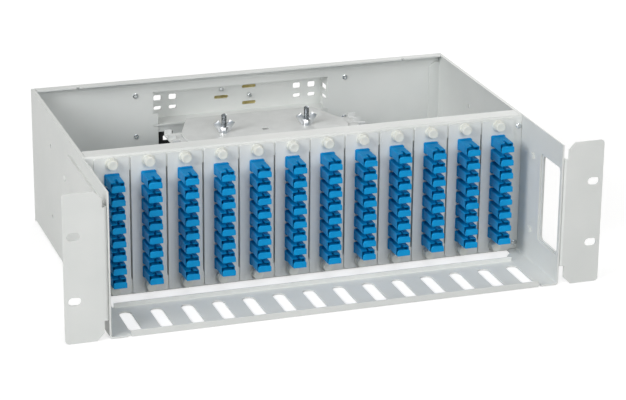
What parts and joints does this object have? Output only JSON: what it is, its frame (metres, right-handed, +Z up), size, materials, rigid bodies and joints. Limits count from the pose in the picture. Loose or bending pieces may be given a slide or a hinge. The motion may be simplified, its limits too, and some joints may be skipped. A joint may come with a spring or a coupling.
{
  "type": "fibre patch panel",
  "caption": "Rack-mount fibre patch panel with the lid off: adapter plates with capped couplers and pull latches in front of an open splice box, slotted cord tray before them.",
  "frame": {"origin": "Centre of the four rack slots, on the front face of the ears.", "axes": "X to the right seen from the front, Y to the rear, Z up."},
  "size_m": [0.4826, 0.3245, 0.132],
  "materials": {
    "powder_coat": "fine texture powder coat",
    "adapter_blue": "satin moulded",
    "cap_blue": "satin moulded",
    "nylon": "natural nylon",
    "zinc_plate": "bright zinc plate",
    "yellow_zinc": "yellow passivated zinc",
    "rubber": "matt",
    "cassette_plastic": "satin moulded",
    "sleeve_plastic": "natural nylon"
  },
  "bodies": {
    "chassis": {"box_body": "powder_coat", "patch_tray": "powder_coat", "front_frame": "powder_coat", "rear_wall": "powder_coat", "ear_left": "powder_coat", "ear_right": "powder_coat", "cable_bracket": "powder_coat", "adapter_plate_01": "powder_coat", "adapter_plate_02": "powder_coat", "adapter_plate_03": "powder_coat", "adapter_plate_04": "powder_coat", "adapter_plate_05": "powder_coat", "adapter_plate_06": "powder_coat", "adapter_plate_07": "powder_coat", "adapter_plate_08": "powder_coat", "adapter_plate_09": "powder_coat", "adapter_plate_10": "powder_coat", "adapter_plate_11": "powder_coat", "adapter_plate_12": "powder_coat", "ear_bolts_left": "powder_coat", "ear_bolts_right": "powder_coat", "ear_nuts": "powder_coat", "sc_adapters": "adapter_blue", "dust_caps": "cap_blue", "cassette_studs": "zinc_plate", "clamp_screws": "zinc_plate", "stud_sleeves": "sleeve_plastic", "cable_clamp_left": "yellow_zinc", "cable_clamp_right": "yellow_zinc", "inlet_grommets": "rubber", "splice_cassette": "cassette_plastic", "cassette_cover": "cassette_plastic"},
    "latch_upper_01": {"latch_upper_01": "nylon"},
    "latch_lower_01": {"latch_lower_01": "nylon"},
    "latch_upper_02": {"latch_upper_02": "nylon"},
    "latch_lower_02": {"latch_lower_02": "nylon"},
    "latch_upper_03": {"latch_upper_03": "nylon"},
    "latch_lower_03": {"latch_lower_03": "nylon"},
    "latch_upper_04": {"latch_upper_04": "nylon"},
    "latch_lower_04": {"latch_lower_04": "nylon"},
    "latch_upper_05": {"latch_upper_05": "nylon"},
    "latch_lower_05": {"latch_lower_05": "nylon"},
    "latch_upper_06": {"latch_upper_06": "nylon"},
    "latch_lower_06": {"latch_lower_06": "nylon"},
    "latch_upper_07": {"latch_upper_07": "nylon"},
    "latch_lower_07": {"latch_lower_07": "nylon"},
    "latch_upper_08": {"latch_upper_08": "nylon"},
    "latch_lower_08": {"latch_lower_08": "nylon"},
    "latch_upper_09": {"latch_upper_09": "nylon"},
    "latch_lower_09": {"latch_lower_09": "nylon"},
    "latch_upper_10": {"latch_upper_10": "nylon"},
    "latch_lower_10": {"latch_lower_10": "nylon"},
    "latch_upper_11": {"latch_upper_11": "nylon"},
    "latch_lower_11": {"latch_lower_11": "nylon"},
    "latch_upper_12": {"latch_upper_12": "nylon"},
    "latch_lower_12": {"latch_lower_12": "nylon"},
    "wing_nut_left": {"wing_nut_left": "zinc_plate"},
    "wing_nut_right": {"wing_nut_right": "zinc_plate"}
  },
  "joints": [
    {"name": "latch_upper_01_pull", "type": "slide", "parent": "chassis", "child": "latch_upper_01", "axis": [0, -1, 0], "range_m": [0, 0.005]},
    {"name": "latch_lower_01_pull", "type": "slide", "parent": "chassis", "child": "latch_lower_01", "axis": [0, -1, 0], "range_m": [0, 0.005]},
    {"name": "latch_upper_02_pull", "type": "slide", "parent": "chassis", "child": "latch_upper_02", "axis": [0, -1, 0], "range_m": [0, 0.005]},
    {"name": "latch_lower_02_pull", "type": "slide", "parent": "chassis", "child": "latch_lower_02", "axis": [0, -1, 0], "range_m": [0, 0.005]},
    {"name": "latch_upper_03_pull", "type": "slide", "parent": "chassis", "child": "latch_upper_03", "axis": [0, -1, 0], "range_m": [0, 0.005]},
    {"name": "latch_lower_03_pull", "type": "slide", "parent": "chassis", "child": "latch_lower_03", "axis": [0, -1, 0], "range_m": [0, 0.005]},
    {"name": "latch_upper_04_pull", "type": "slide", "parent": "chassis", "child": "latch_upper_04", "axis": [0, -1, 0], "range_m": [0, 0.005]},
    {"name": "latch_lower_04_pull", "type": "slide", "parent": "chassis", "child": "latch_lower_04", "axis": [0, -1, 0], "range_m": [0, 0.005]},
    {"name": "latch_upper_05_pull", "type": "slide", "parent": "chassis", "child": "latch_upper_05", "axis": [0, -1, 0], "range_m": [0, 0.005]},
    {"name": "latch_lower_05_pull", "type": "slide", "parent": "chassis", "child": "latch_lower_05", "axis": [0, -1, 0], "range_m": [0, 0.005]},
    {"name": "latch_upper_06_pull", "type": "slide", "parent": "chassis", "child": "latch_upper_06", "axis": [0, -1, 0], "range_m": [0, 0.005]},
    {"name": "latch_lower_06_pull", "type": "slide", "parent": "chassis", "child": "latch_lower_06", "axis": [0, -1, 0], "range_m": [0, 0.005]},
    {"name": "latch_upper_07_pull", "type": "slide", "parent": "chassis", "child": "latch_upper_07", "axis": [0, -1, 0], "range_m": [0, 0.005]},
    {"name": "latch_lower_07_pull", "type": "slide", "parent": "chassis", "child": "latch_lower_07", "axis": [0, -1, 0], "range_m": [0, 0.005]},
    {"name": "latch_upper_08_pull", "type": "slide", "parent": "chassis", "child": "latch_upper_08", "axis": [0, -1, 0], "range_m": [0, 0.005]},
    {"name": "latch_lower_08_pull", "type": "slide", "parent": "chassis", "child": "latch_lower_08", "axis": [0, -1, 0], "range_m": [0, 0.005]},
    {"name": "latch_upper_09_pull", "type": "slide", "parent": "chassis", "child": "latch_upper_09", "axis": [0, -1, 0], "range_m": [0, 0.005]},
    {"name": "latch_lower_09_pull", "type": "slide", "parent": "chassis", "child": "latch_lower_09", "axis": [0, -1, 0], "range_m": [0, 0.005]},
    {"name": "latch_upper_10_pull", "type": "slide", "parent": "chassis", "child": "latch_upper_10", "axis": [0, -1, 0], "range_m": [0, 0.005]},
    {"name": "latch_lower_10_pull", "type": "slide", "parent": "chassis", "child": "latch_lower_10", "axis": [0, -1, 0], "range_m": [0, 0.005]},
    {"name": "latch_upper_11_pull", "type": "slide", "parent": "chassis", "child": "latch_upper_11", "axis": [0, -1, 0], "range_m": [0, 0.005]},
    {"name": "latch_lower_11_pull", "type": "slide", "parent": "chassis", "child": "latch_lower_11", "axis": [0, -1, 0], "range_m": [0, 0.005]},
    {"name": "latch_upper_12_pull", "type": "slide", "parent": "chassis", "child": "latch_upper_12", "axis": [0, -1, 0], "range_m": [0, 0.005]},
    {"name": "latch_lower_12_pull", "type": "slide", "parent": "chassis", "child": "latch_lower_12", "axis": [0, -1, 0], "range_m": [0, 0.005]},
    {"name": "wing_nut_left_turn", "type": "hinge", "parent": "chassis", "child": "wing_nut_left", "pos_m": [-0.04, 0.218, 0.0305], "axis": [0, 0, 1], "continuous": true},
    {"name": "wing_nut_right_turn", "type": "hinge", "parent": "chassis", "child": "wing_nut_right", "pos_m": [0.04, 0.218, 0.0305], "axis": [0, 0, 1], "continuous": true}
  ]
}
